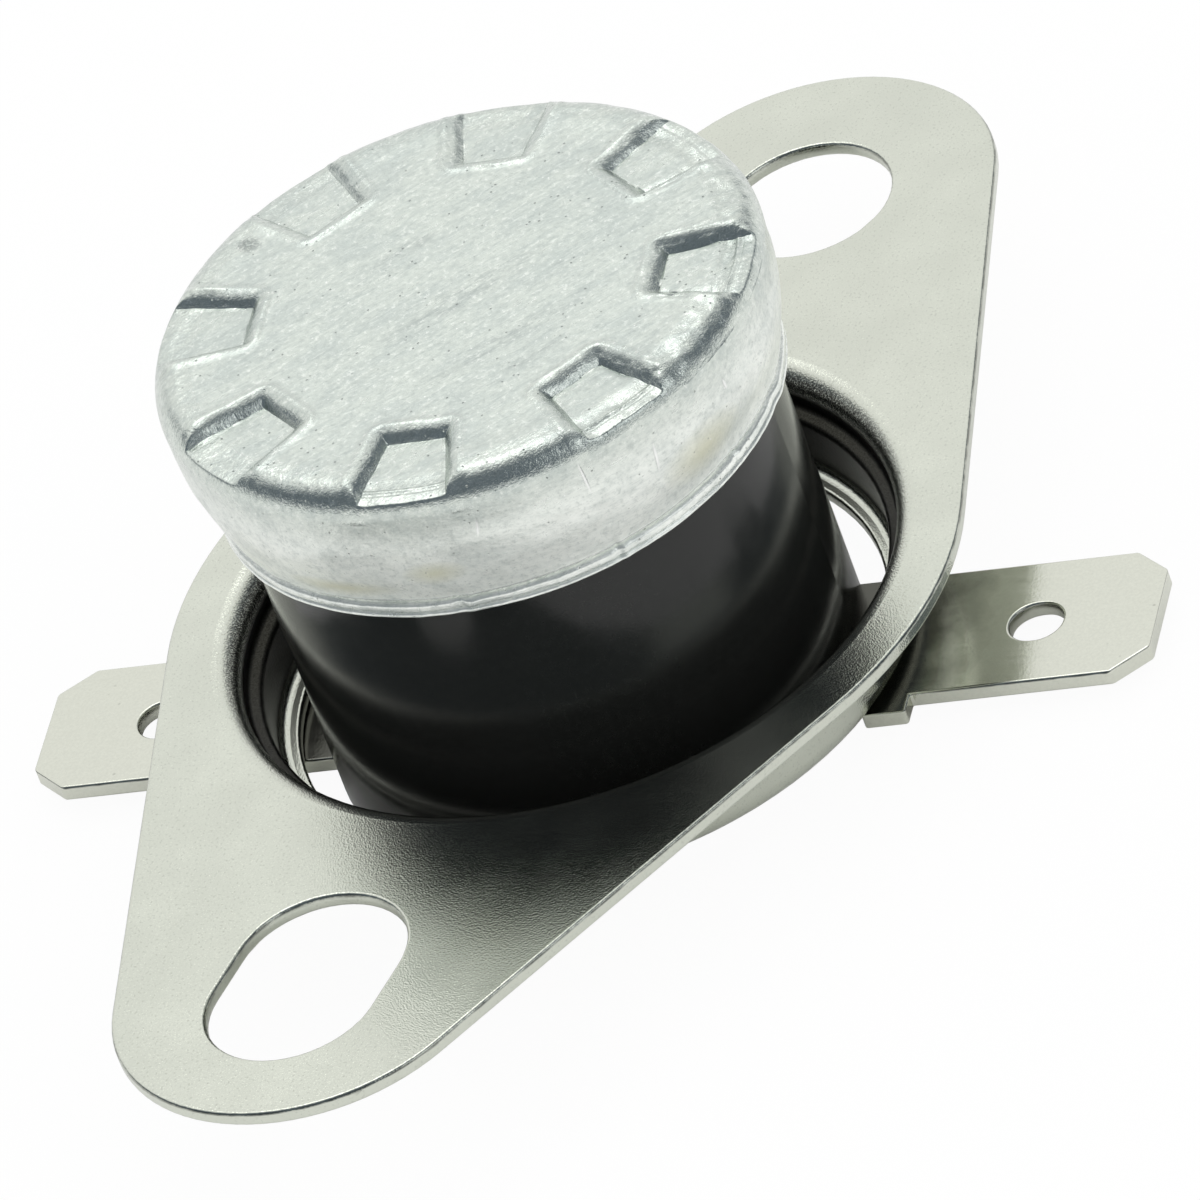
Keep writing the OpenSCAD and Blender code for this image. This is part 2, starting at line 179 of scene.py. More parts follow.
# How far the rim's height wavers, between which heights that fades in, its waves round the cap, and where
# those start in radians
RIM_WAVER = 0.02
RIM_WAVER_Z = (10.0, CREASE_Z)
RIM_WAVES = 4
RIM_WAVES_START = 1

# Dimples of the cap
DIMPLES = 8
DIMPLE_TURN = 16
DIMPLE_INNER_R = 5.45
DIMPLE_INNER_W = 1.8
DIMPLE_SPREAD = 10
DIMPLE_DEPTH = 0.35
DIMPLE_SLOPE = 25
# Horizontal run of a dimple's wall, how much of it more the rounded shoulder takes, how late the shoulder
# drops, and how softly the wall meets the face
WALL_RUN = DIMPLE_DEPTH * math.tan(math.radians(DIMPLE_SLOPE))
SHOULDER = 1.7
SHOULDER_POWER = 2.5
SHOULDER_SOFT = 0.05
# How far the dimples' outline wanders, and its waves in a millimetre
OUTLINE_WANDER = 0.03
OUTLINE_WAVES = 2.2
# Share of the depth from which a dimple is floor, how much the punch worked the floor, and how late the
# floor's own forms rise
FLOOR_SHARE = 0.985
FLOOR_WORKED = 0.15
FLOOR_POWER = 4
# How much the punch worked the top of a wall, and how fast that rises with the share of the depth
TOP_WORKED = 0.4
WORKED_RISE = 4
# Bead and groove along the outer end of a dimple's floor, on the side where the punch bit. The reach is the
# cosine of the turn away from that side, where they fade in and are full.
BEAD_R = 7.5
BEAD_W = 0.045
BEAD_H = 0.028
BEAD_GROOVE_R = 7.62
BEAD_GROOVE_W = 0.04
BEAD_GROOVE_SHARE = 0.5
BEAD_TURN = 255
BEAD_REACH = (-0.3, 0.6)
# Sloping strip outside the groove
STRIP_R = 7.68
STRIP_SLOPE = 8
# The punch stood a little askew: the dimples are deepest towards this direction
DEEPEST_TURN = 175
DEPTH_LOSS = 0.1

# Crests that the punch threw up round the dimples and along the edge, and the height of the face below them
CREST_H = 0.06
PLAIN_Z = CAP_TOP - CREST_H
# Share of their room that crests fill, and their place outside the shoulder and width in runs of the wall
CREST_FILL = 0.9
CREST_OUT = 0.2
CREST_W = 0.75
# Their mean height, how far it varies, its waves in a millimetre, and the place where those start
CREST_MEAN = 0.75
CREST_VARIES = 0.6
CREST_WAVES = 1.3
CREST_START = Vector((0, 0, 4))
# How much the punch worked a crest
CREST_WORKED = 0.8
# Depths under the cap's top between which a crest rises, and the share of a dimple's depth where it is gone
CREST_UNDER = (0.3, 0.02)
CREST_GONE = 0.6
# The face rises to its edge by this share of the crests, between these radii
FACE_RISE = 0.4
FACE_RISE_R = (6.2, 7.2)

# Uneven surface of the pressed metal: size of its waves and their height, the shares of the coarse and of
# the finer wave, and how many times finer that one is
WAVE_SIZE = 0.7
WAVE_H = 0.022
COARSE_SHARE = 0.8
FINE_SHARE = 0.4
FINER = 2.1
# Radii and heights between which the waves fade in on the face and on the side, their share where the punch
# left the metal plain, and the least work that raises it
FACE_WAVE_R = (4.8, 6)
SIDE_WAVE_Z = (12.85, 12.2)
PLAIN_WAVE = 0.15
LEAST_WORK = 0.3
# How far the drawn side wobbles, and the heights between which that fades in
WOBBLE = 0.025
WOBBLE_Z = (12.85, 12.0)
# The punch crumpled the metal most towards this direction, by so much more. The reach is a cosine, as above.
CRUMPLED_TURN = 285
CRUMPLED_MORE = 2.2
CRUMPLED_REACH = (0.45, 0.85)

# Nicks in the cap's rim: direction, height, width along the rim and depth
RIM_NICKS = ((-161.3, 9.6, 0.16, 0.09), (-129.2, 9.62, 0.1, 0.05), (-97.9, 9.7, 0.12, 0.06),
             (-80.1, 9.45, 0.3, 0.05), (-12, 9.5, 0.2, 0.06), (95, 9.6, 0.14, 0.07))
# Height of a nick, the share that stands up as a burr beside it, and the burr's place in widths
NICK_H = 0.3
BURR_SHARE = 0.6
BURR_PLACE = 1.7
# Places where the crimping pressed the skirt in: direction, height, width, height of the dent and depth
SKIRT_DENTS = ((-89, 10.2, 2.2, 0.5, 0.09), (-178, 10.1, 1.4, 0.4, 0.07), (-140, 10.3, 1.8, 0.5, 0.04),
               (30, 10.2, 2.4, 0.5, 0.07), (120, 10.2, 1.6, 0.5, 0.06), (-30, 10.3, 1.5, 0.4, 0.05))
# Marks on the cap's surface: direction, radius, height, then half its width, depth and height, and its lean
SIDE_SCRATCHES = ((-131, CAP_R, 12.42, 0.05, 0.3, 0.6, 4), (-117, CAP_R, 11.8, 0.06, 0.4, 0.52, -5),
                  (-97.5, CAP_R, 12.1, 0.06, 0.3, 0.22, 8), (-152, CAP_R, 12.2, 0.05, 0.3, 0.3, -12),
                  (60, CAP_R, 12.0, 0.05, 0.3, 0.5, 5), (-20, CAP_R, 12.2, 0.06, 0.3, 0.4, -6))
FACE_SCUFF = (79, 6.85, CAP_TOP, 0.42, 0.5, 0.3, 0)
FACE_SMEARS = ((-125, 2.9, CAP_TOP, 3.0, 0.4, 0.3, 0), (-122, 4.1, CAP_TOP, 1.4, 0.3, 0.3, 0),
               (-125, 0.4, CAP_TOP, 3.2, 0.6, 0.3, 0), (52, 2.6, CAP_TOP, 1.8, 0.3, 0.3, 0))
# Painted warm reflections on the skirt, laid as marks
SKIRT_WARM_REFLECTIONS = ((-184, 7.8, 10.3, 1.9, 0.9, 0.4, 0), (-163, 7.9, 10.9, 0.9, 0.8, 0.5, 0),
                (-106, 7.9, 10.9, 1.6, 0.8, 0.9, 0), (40, 7.8, 10.8, 2.5, 0.8, 0.6, 0))
# Heights between which the cap turns from its dull face to its burnished side, whose colour is also painted
# lighter there as light: colour, dirt and metal
BURNISH_AND_LIGHT_Z = (13.3, 11.4)
DIRT_Z = (12.9, 12.3)
SKIN_Z = (12.9, 11.2)


class Graph:
    """The nodes of a material or of the world."""

    def __init__(self, owner):
        owner.use_nodes = True
        self.nodes = owner.node_tree.nodes
        self.links = owner.node_tree.links

    def feed(self, target, source):
        """Sets a socket from a number, from a colour or from another socket."""
        if isinstance(source, (int, float)):
            target.default_value = source
        elif isinstance(source, tuple):
            target.default_value = (*source, 1)
        else:
            self.links.new(source, target)

    def span(self, source, low, high, to_low=0.0, to_high=1.0, kind="LINEAR"):
        """Maps a range of a source to another range, held at its ends."""
        node = self.nodes.new("ShaderNodeMapRange")
        node.interpolation_type = kind
        self.feed(node.inputs["Value"], source)
        node.inputs["From Min"].default_value = low
        node.inputs["From Max"].default_value = high
        node.inputs["To Min"].default_value = to_low
        node.inputs["To Max"].default_value = to_high
        return node.outputs["Result"]

    def fall(self, source, low, high):
        """1 below a range of a source, 0 above it."""
        return self.span(source, low, high, 1.0, 0.0)

    def join(self, operation, terms):
        """Joins numbers and sockets from the first to the last."""
        joined = terms[0]
        for term in terms[1:]:
            node = self.nodes.new("ShaderNodeMath")
            node.operation = operation
            self.feed(node.inputs[0], joined)
            self.feed(node.inputs[1], term)
            joined = node.outputs[0]
        return joined

    def sum(self, *terms):
        return self.join("ADD", terms)

    def product(self, *terms):
        return self.join("MULTIPLY", terms)

    def highest(self, *terms):
        return self.join("MAXIMUM", terms)

    def mix(self, factor, first, second, kind="RGBA"):
        """A colour between two, by a factor, or a value between two where the kind is FLOAT."""
        node = self.nodes.new("ShaderNodeMix")
        node.data_type = kind
        self.feed(node.inputs["Factor"], factor)
        self.feed(node.inputs["A"], first)
        self.feed(node.inputs["B"], second)
        return node.outputs["Result"]

    def vector_step(self, operation, vector, other=None):
        """A node that works on a vector, and on a second one that is given."""
        node = self.nodes.new("ShaderNodeVectorMath")
        node.operation = operation
        self.feed(node.inputs[0], vector)
        if other is not None:
            node.inputs[1].default_value = other
        return node

    def z_of(self, vector):
        parts = self.nodes.new("ShaderNodeSeparateXYZ")
        self.feed(parts.inputs[0], vector)
        return parts.outputs["Z"]


class Surface(Graph):
    """A principled material whose textures are measured in millimetres."""

    def __init__(self, name, colour, metallic, roughness):
        self.material = bpy.data.materials.new(name)
        super().__init__(self.material)
        self.shader = self.nodes["Principled BSDF"]
        self.feed(self.shader.inputs["Base Color"], colour)
        self.feed(self.shader.inputs["Metallic"], metallic)
        self.feed(self.shader.inputs["Roughness"], roughness)
        self.coordinates = self.nodes.new("ShaderNodeTexCoord").outputs["Object"]

    def finish(self, colour, roughness, normal):
        """Gives the shader what the textures made of its colour, roughness and normal."""
        self.feed(self.shader.inputs["Base Color"], colour)
        self.feed(self.shader.inputs["Roughness"], roughness)
        self.feed(self.shader.inputs["Normal"], normal)
        return self.material

    def place(self, stretch=(1, 1, 1), turn=0):
        """Coordinates in millimetres, turned about Z and then divided by a stretch."""
        turned = self.nodes.new("ShaderNodeMapping")
        turned.inputs["Rotation"].default_value = (0, 0, math.radians(-turn))
        turned.inputs["Scale"].default_value = (1 / MM, 1 / MM, 1 / MM)
        self.feed(turned.inputs["Vector"], self.coordinates)
        shrunk = self.nodes.new("ShaderNodeMapping")
        shrunk.inputs["Scale"].default_value = tuple(1 / s for s in stretch)
        self.feed(shrunk.inputs["Vector"], turned.outputs["Vector"])
        return shrunk.outputs["Vector"]

    def height(self):
        """Height above the base's underside, in millimetres."""
        return self.z_of(self.place())

    def radius(self):
        """Distance from the part's axis, in millimetres."""
        level = self.vector_step("MULTIPLY", self.place(), (1, 1, 0))
        return self.vector_step("LENGTH", level.outputs[0]).outputs["Value"]

    def facing_up(self):
        """The share of the surface's own direction that is up."""
        return self.z_of(self.nodes.new("ShaderNodeTexCoord").outputs["Normal"])

    def noise(self, size, detail=3, rough=0.5, stretch=(1, 1, 1), turn=0):
        """Noise whose features are about a size in millimetres."""
        node = self.nodes.new("ShaderNodeTexNoise")
        node.inputs["Scale"].default_value = 1 / size
        node.inputs["Detail"].default_value = detail
        node.inputs["Roughness"].default_value = rough
        self.feed(node.inputs["Vector"], self.place(stretch, turn))
        return node.outputs["Fac"]

    def cells(self, size):
        """Distance from scattered points about a size in millimetres apart, as a share of that size."""
        node = self.nodes.new("ShaderNodeTexVoronoi")
        node.inputs["Scale"].default_value = 1 / size
        self.feed(node.inputs["Vector"], self.place())
        return node.outputs["Distance"]

    def dots(self, size, reach, patch_size, patch_range):
        """1 in small dots about a size apart, only in patches where a coarser noise is high."""
        patches = self.span(self.noise(patch_size, 2), *patch_range)
        return self.product(self.fall(self.cells(size), *reach), patches)

    def painted(self, name):
        """A value that the mesh carries at its points."""
        node = self.nodes.new("ShaderNodeAttribute")
        node.attribute_name = name
        return node.outputs["Fac"]

    def mark(self, direction, radius, height, half_width, half_depth, half_height, lean, soft=0.5):
        """1 in an oval mark at a place given in degrees and millimetres, 0 outside, with a soft edge."""
        a = math.radians(direction)
        centred = self.nodes.new("ShaderNodeMapping")
        centred.vector_type = "TEXTURE"
        centred.inputs["Location"].default_value = (radius * math.cos(a) * MM, radius * math.sin(a) * MM,
                                                    height * MM)
        centred.inputs["Rotation"].default_value = (math.radians(lean), 0, a)
        centred.inputs["Scale"].default_value = (half_depth * MM, half_width * MM, half_height * MM)
        self.feed(centred.inputs["Vector"], self.coordinates)
        distance = self.vector_step("LENGTH", centred.outputs["Vector"])
        return self.fall(distance.outputs["Value"], 1 - soft, 1)

    def marks(self, places, soft=0.5):
        """Several marks in one, each as strong as the strongest there."""
        return self.highest(*(self.mark(*place, soft) for place in places))

    def edge_shade_line(self):
        """1 in a thin uneven line along the edges of an upper face, 0 elsewhere: where a dark line of painted
        shade goes.
        """
        up = self.facing_up()
        band = self.product(self.span(up, 0.1, 0.25), self.span(up, 0.85, 0.65))
        return self.product(band, self.span(self.noise(0.6, 2), 0.35, 0.6, 0.3, 1.0))

    def stained(self, colour, *stains):
        """Lays stains over a colour, one after another: a factor and a colour each."""
        for factor, stain in stains:
            colour = self.mix(factor, colour, stain)
        return colour

    def bumped(self, *bumps):
        """Lays bumps over each other: a height of 0 to 1, its depth in millimetres and its strength each."""
        normal = None
        for height, depth, strength in bumps:
            node = self.nodes.new("ShaderNodeBump")
            node.inputs["Strength"].default_value = strength
            node.inputs["Distance"].default_value = depth * MM
            self.feed(node.inputs["Height"], height)
            if normal is not None:
                self.feed(node.inputs["Normal"], normal)
            normal = node.outputs["Normal"]
        return normal


def shade(colour, share):
    return tuple(c * share for c in colour)


def aluminium_cap():
    """Drawn sheet aluminium: a dull skin with streaks, pits and smudges, burnished where it was pressed."""
    s = Surface("aluminium_cap", ALUMINIUM, 1.0, 0.4)
    worked = s.painted("worked")
    lines = s.noise(0.05, 3, 0.7, stretch=(8, 1, 1), turn=STREAK_TURN)
    streaks = s.noise(0.22, 4, 0.7, stretch=(3.5, 1, 1), turn=STREAK_TURN)
    clouds = s.noise(1.5, 6, 0.75, stretch=(2, 1, 1), turn=STREAK_TURN)
    grain = s.noise(0.05, 2, 0.6)
    mottle = s.noise(0.16, 4, 0.75)
    burnish = s.product(s.noise(0.09, 3, 0.7), worked)
    pits = s.dots(0.26, (0.06, 0.13), 0.6, (0.48, 0.56))
    # Painted highlights: white dots scattered in patches
    painted_glints = s.dots(0.3, (0.05, 0.1), 0.8, (0.5, 0.56))
    scuff = s.product(s.mark(*FACE_SCUFF, soft=0.6), s.span(s.noise(0.09, 2, 0.6), 0.42, 0.58))
    scratches = s.marks(SIDE_SCRATCHES)
    smears = s.product(s.marks(FACE_SMEARS, 0.9), s.span(streaks, 0.42, 0.62))
    dirt = s.span(s.height(), *DIRT_Z, 1.0, 0.6)
    colour = s.stained(
        # The colour turns lighter down the side and skirt: partly burnished metal, partly painted light for the
        # bright surround they reflect
        s.mix(s.span(s.height(), *BURNISH_AND_LIGHT_Z), ALUMINIUM, BURNISH_AND_LIGHT),
        (s.product(dirt, s.span(clouds, 0.4, 0.54, 0.55, 0.0)), SMUDGE),
        (s.product(dirt, s.span(streaks, 0.48, 0.64, 0.0, 0.45)), shade(SMUDGE, 0.95)),
        (s.product(smears, 0.9), shade(SMUDGE, 0.75)),
        (s.span(lines, 0.54, 0.7, 0.0, 0.3), shade(SMUDGE, 0.75)),
        (s.span(lines, 0.42, 0.3, 0.0, 0.4), BURNISH_AND_LIGHT),
        (s.span(mottle, 0.52, 0.66, 0.0, 0.4), shade(SMUDGE, 0.8)),
        (s.span(mottle, 0.44, 0.34, 0.0, 0.5), BURNISH_AND_LIGHT),
        # Painted warm reflections on the skirt
        (s.product(s.marks(SKIRT_WARM_REFLECTIONS, 0.9), 0.8), WARM_REFLECTION),
        (s.product(pits, 0.6), shade(SMUDGE, 0.5)),
        # Painted highlights
        (s.product(painted_glints, 0.8), PAINTED_GLINT),
        (s.product(scuff, 0.7), shade(SMUDGE, 0.6)),
        (s.product(scratches, 0.8), SCRATCH))
    plain = s.sum(s.span(streaks, 0.3, 0.7, 0.25, 0.34), s.span(clouds, 0.35, 0.65, 0.05, 0.0))
    roughness = s.mix(worked, plain, s.span(mottle, 0.35, 0.65, 0.06, 0.24), "FLOAT")
    skin = s.span(s.height(), *SKIN_Z, 0.72, 0.35)
    s.feed(s.shader.inputs["Metallic"], s.mix(worked, skin, 0.95, "FLOAT"))
    normal = s.bumped(
        (clouds, 0.03, 0.5),
        (mottle, 0.012, 0.9),
        (streaks, 0.008, 0.9),
        (lines, 0.003, 0.9),
        (grain, 0.003, 0.9),
        (burnish, 0.014, 0.9),
        (s.sum(pits, scratches, scuff), -0.02, 0.9))
    return s.finish(colour, roughness, normal)


def nickel_bracket():
    """Pressed steel under a nickel plate, with a fine pebbled grain. The collar's inside and throat are painted
    near-black as shade, and the flange's rounded edges get a dark line of painted shade.
    """
    s = Surface("nickel_bracket", NICKEL, 1.0, 0.2)
    pebbles = s.cells(0.05)
    grain = s.noise(0.048, 2, 0.6)
    clouds = s.noise(1.8, 3, 0.5)
    peel = s.noise(0.055, 2, 0.6)
    specks = s.span(s.noise(0.07, 1, 0.5), 0.6, 0.72)
    height, radius = s.height(), s.radius()
    under_throat = s.fall(height, *THROAT_FOOT_Z)
    # The collar's inner ledge and wall are painted near-black as shade, and made rougher
    ledge = s.product(s.span(height, *LEDGE_Z), under_throat, s.fall(radius, *LEDGE_R))
    wall = s.product(s.span(height, *LIP_Z), under_throat, s.fall(radius, *WALL_R))
    collar_shade = s.highest(ledge, wall)
    bend = s.product(s.span(radius, *BEND_R), s.span(height, *BEND_Z))
    # The throat's bend gets near-black painted shade in an uneven grain
    throat = s.product(s.span(radius, *PEEL_R), s.span(height, *PEEL_Z))
    # A dark line of painted shade along the flange's rounded edges
    edge = s.product(s.edge_shade_line(), s.span(radius, *FLANGE_R))
    colour = s.stained(
        s.mix(s.span(clouds, 0.35, 0.7), shade(NICKEL, 0.96), NICKEL),
        (s.product(specks, 0.35), shade(NICKEL, 0.6)),
        (s.product(edge, 0.8), shade(NICKEL, 0.22)),
        (s.product(collar_shade, s.span(grain, 0.3, 0.7, 1.0, 0.95)), PAINTED_SHADE),
        (s.product(throat, s.span(peel, 0.62, 0.42, 0.0, 0.8)), PAINTED_SHADE))
    roughness = s.sum(s.span(clouds, 0.3, 0.7, 0.15, 0.2), s.product(collar_shade, 0.15))
    normal = s.bumped(
        (clouds, 0.004, 0.5),
        (s.product(peel, bend), 0.012, 1.0),
        (pebbles, 0.0034, 1.0),
        (grain, 0.0027, 1.0))
    return s.finish(colour, roughness, normal)


def nickel_blade():
    """Bright nickel plate on brass, with faint rolling lines. The blade's upper face is painted dark as shade
    at its root, and its rounded edges get a dark line of painted shade.
    """
    s = Surface("nickel_blade", BRIGHT_NICKEL, 1.0, 0.16)
    lines = s.noise(0.2, 3, 0.6, stretch=(12, 1, 1), turn=TERMINAL_TURN)
    grain = s.noise(0.08, 2, 0.5)
    spots = s.dots(0.5, (0.05, 0.12), 0.9, (0.54, 0.6))
    wander = s.span(s.noise(1.2, 3), 0.3, 0.7, -ROOT_WANDER, ROOT_WANDER)
    # Painted shade on the blade's upper face near the bracket, fading out along it
    root_shade = s.span(s.sum(s.radius(), wander), *ROOT_R, ROOT_SHADE, 0.0)
    colour = s.stained(
        s.mix(s.span(grain, 0.3, 0.7), shade(BRIGHT_NICKEL, 0.94), BRIGHT_NICKEL),
        (s.product(spots, 0.5), shade(BRIGHT_NICKEL, 0.5)),
        # A dark line of painted shade along the blade's rounded edges
        (s.product(s.edge_shade_line(), 0.8), shade(BRIGHT_NICKEL, 0.22)),
        # Painted shade at the root
        (s.product(root_shade, s.span(s.facing_up(), 0.8, 0.97)), PAINTED_SHADE))
    roughness = s.span(lines, 0.3, 0.7, 0.13, 0.2)
    return s.finish(colour, roughness, s.bumped((lines, 0.003, 0.6), (grain, 0.003, 0.8)))


def phenolic_base():
    """Glossy black moulded phenolic, with a faint orange peel and a few specks of dust."""
    s = Surface("phenolic_base", PHENOLIC, 0.0, 0.2)
    s.feed(s.shader.inputs["Specular IOR Level"], PHENOLIC_SPECULAR)
    peel = s.noise(0.9, 2, 0.5)
    grain = s.noise(0.06, 2, 0.6)
    colour = s.stained(
        s.mix(s.span(s.noise(0.2), 0.3, 0.7), shade(PHENOLIC, 0.8), PHENOLIC),
        (s.dots(1.1, (0.02, 0.035), 1.4, (0.56, 0.6)), DUST))
    roughness = s.span(peel, 0.3, 0.7, 0.13, 0.2)
    return s.finish(colour, roughness, s.bumped((peel, 0.004, 0.4), (grain, 0.0012, 0.8)))


def plain_grain(name, colour, metallic, roughness, size, depth):
    """An inner piece's finish: its colour and roughness vary with a grain of a size and a depth."""
    s = Surface(name, colour, metallic, roughness)
    grain = s.noise(size, 4, 0.6)
    mixed = s.mix(s.span(grain, 0.3, 0.7), shade(colour, 0.85), colour)
    uneven = s.span(grain, 0.3, 0.7, roughness * 0.8, roughness * 1.2)
    return s.finish(mixed, uneven, s.bumped((grain, depth, 0.7)))


def dress(node, material, edge=0.0):
    """Gives a CAD node its material, and rounds its edges by a radius in millimetres."""
    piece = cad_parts[node]
    piece.data.materials.clear()
    piece.data.materials.append(material)
    if edge:
        weld = piece.modifiers.new("joined corners", "WELD")
        weld.merge_threshold = CORNER_GAP * MM
        bevel = piece.modifiers.new("edges", "BEVEL")
        bevel.width = edge * MM
        bevel.segments = EDGE_SEGMENTS
        bevel.limit_method = "ANGLE"
        bevel.angle_limit = math.radians(EDGE_FROM)
        bevel.harden_normals = True


def ease(value, low, high):
    """Rises smoothly from 0 at low to 1 at high."""
    share = min(max((value - low) / (high - low), 0), 1)
    return share * share * (3 - 2 * share)


def hump(value, centre, width):
    """1 at the centre, and towards 0 beyond a width on either side."""
    return math.exp(-((value - centre) / width) ** 2)


def soft_min(a, b, width):
    """The lower of two values, with their corner rounded over a width."""
    if width <= 0:
        return min(a, b)
    share = min(max(0.5 + 0.5 * (b - a) / width, 0), 1)
    return b * (1 - share) + a * share - width * share * (1 - share)


def steps(first, last, pitch):
    """Values from first to last, both included, about a pitch apart."""
    count = max(1, round(abs(last - first) / pitch))
    return [first + (last - first) * i / count for i in range(count + 1)]


def turned_by(angle, direction):
    """The turn from a direction to an angle, in degrees from -180 to 180."""
    return (angle - direction + 180) % 360 - 180


def cosine_from(angle, direction):
    """The cosine of the turn from a direction to an angle, both in degrees."""
    return math.cos(math.radians(angle - direction))


class CapMesh:
    """The crimped cap: rings of points from the middle of its face, over the rim and back inside.

    The columns of the mesh run along the dimples' walls, so that the corners of the walls stay straight.
    """

    # Turn from one dimple to the next, and half of the turn over a dimple's inner end
    SECTOR = 360 / DIMPLES
    HALF_END = math.degrees(math.asin(DIMPLE_INNER_W / 2 / DIMPLE_INNER_R))
    # Columns over half of a dimple's floor, their pitch over its wall, and columns over half of the gap to
    # the next dimple. They follow the walls between these radii.
    FLOOR_COLUMNS = 8
    WALL_PITCH = 0.035
    GAP_COLUMNS = 18
    NEAR_R, FAR_R = 4.8, 7.95

    # Rings of the face and of its rounded edge, as radii and then as tilts in degrees
    PLAIN_RADII = (0.5, 1.2, 2.0, 2.8, 3.5, 4.0, 4.4, 4.7)
    INNER_END_RADII = steps(4.85, 5.8, 0.038)
    FLOOR_RADII = steps(5.9, EDGE_START_R, 0.1)
    EDGE_RADII = steps(7.33, 7.93, 0.03)
    EDGE_TILTS = steps(54, 90, 3)
    # Rings of the side and of the rim, as heights
    SIDE_HEIGHTS = steps(12.76, SKIRT_TOP_Z, 0.14) + steps(11.68, 9.86, 0.12)
    RIM_HEIGHTS = steps(9.8, RIM_Z, 0.032)
    # Rings inside, as heights and then as tilts in degrees
    INSIDE_HEIGHTS = (CREASE_Z, 10.5, 11.2, SKIRT_TOP_Z)
    INSIDE_TILTS = (90, 45, 0)
    INSIDE_FOOT_RISE = 0.02

    # Radii between which the rings turn straight at the dimples' inner ends, and round again
    STRAIGHT_R = (4.0, 4.7)
    ROUND_R = (7.0, 6.0)
    # Radii, and tilts in radians, between which the metal along the edge is worked and plain again
    WORKED_R = (6.9, 7.3)
    WORKED_TILT = (1.45, 1.15)

    def __init__(self):
        self.points = []
        self.worked = []
        self.rings = []

    @staticmethod
    def half_width(x):
        """Half of a dimple's width at the top of its walls."""
        return DIMPLE_INNER_W / 2 + (x - DIMPLE_INNER_R) * math.tan(math.radians(DIMPLE_SPREAD))

    def columns(self, r):
        """Turns of the columns from the middle of a dimple at a radius, in degrees."""
        x = min(max(r, self.NEAR_R), self.FAR_R)
        half = self.half_width(x)
        foot = half - WALL_RUN
        offsets = [foot * i / self.FLOOR_COLUMNS for i in range(self.FLOOR_COLUMNS)]
        offsets += steps(foot, half + SHOULDER * WALL_RUN, self.WALL_PITCH)
        turns = [math.degrees(math.asin(y / x)) for y in offsets]
        last = turns[-1]
        rest = self.SECTOR / 2 - last
        turns += [last + rest * i / self.GAP_COLUMNS for i in range(1, self.GAP_COLUMNS + 1)]
        return [-t for t in reversed(turns[1:])] + turns[:-1]

    @staticmethod
    def face_z(r):
        """Height of the plain face: it rises a little to the edge, and leaves room for the crests."""
        return CAP_TOP - CREST_H * (1 - FACE_RISE * ease(r, *FACE_RISE_R))

    def inset(self, r, turn):
        """How far a place is inside the top of a dimple's walls, in millimetres."""
        x, y = r * math.cos(math.radians(turn)), abs(r * math.sin(math.radians(turn)))
        end = x - DIMPLE_INNER_R
        side = (self.half_width(x) - y) * math.cos(math.radians(DIMPLE_SPREAD))
        return -math.hypot(end, side) if end < 0 and side < 0 else min(end, side)

    @staticmethod
    def dimple_z(r, direction, share):
        """Height inside a dimple, where the wall has reached a share of its depth."""
        depth = 1 - DEPTH_LOSS * (1 - cosine_from(direction, DEEPEST_TURN))
        level = PLAIN_Z - (DIMPLE_DEPTH - CREST_H) * depth * share
        flat = share ** FLOOR_POWER
        bite = ease(cosine_from(direction, BEAD_TURN), *BEAD_REACH)
        groove = BEAD_GROOVE_SHARE * hump(r, BEAD_GROOVE_R, BEAD_GROOVE_W)
        level += flat * bite * BEAD_H * (hump(r, BEAD_R, BEAD_W) - groove)
        return level - flat * max(r - STRIP_R, 0) * math.tan(math.radians(STRIP_SLOPE))

    @staticmethod
    def punched(share):
        """How strongly the punch worked a dimple at a share of its depth: walls most, the floor little."""
        return (1.0 if share < FLOOR_SHARE else FLOOR_WORKED) * min(1, TOP_WORKED + share * WORKED_RISE)

    def pressed(self, r, turn, direction, z):
        """Height of the face at a place near a dimple, and how strongly the punch worked it."""
        a = math.radians(direction + turn)
        place = Vector((r * math.cos(a), r * math.sin(a), 0))
        runs = (self.inset(r, turn) + OUTLINE_WANDER * noise.noise(place * OUTLINE_WAVES)) / WALL_RUN
        uneven = CREST_MEAN + CREST_VARIES * noise.noise(place * CREST_WAVES + CREST_START)
        crest = hump(runs, -SHOULDER - CREST_OUT, CREST_W) * uneven
        z += CREST_H * CREST_FILL * min(max(crest, 0), 1) * ease(CAP_TOP - z, *CREST_UNDER)
        if runs <= -SHOULDER:
            return z, min(1, CREST_WORKED * crest)
        share = ((min(runs, 1) + SHOULDER) / (1 + SHOULDER)) ** SHOULDER_POWER
        level = self.dimple_z(r, direction, share) + max(z - PLAIN_Z, 0) * (1 - ease(share, 0, CREST_GONE))
        return soft_min(z, level, SHOULDER_SOFT * share), self.punched(share)

    @staticmethod
    def wave(x, y, z):
        """A smooth uneven height between about -1 and 1, which repeats nowhere."""
        place = Vector((x, y, z)) / WAVE_SIZE
        return COARSE_SHARE * noise.noise(place) + FINE_SHARE * noise.noise(place * FINER)

    def sunk(self, radius, angle, worked):
        """How far the uneven face lies under its true height."""
        a = math.radians(angle)
        crumpled = 1 + CRUMPLED_MORE * ease(cosine_from(angle, CRUMPLED_TURN), *CRUMPLED_REACH)
        depth = max(PLAIN_WAVE, worked * crumpled) if worked > LEAST_WORK else PLAIN_WAVE
        wave = self.wave(radius * math.cos(a), radius * math.sin(a), 0)
        return WAVE_H * (1 + wave) * depth * ease(radius, *FACE_WAVE_R)

    @staticmethod
    def wobble(angle, z):
        """How far the side stands in from its true radius, in slow waves and the dents of the crimping."""
        a = math.radians(angle)
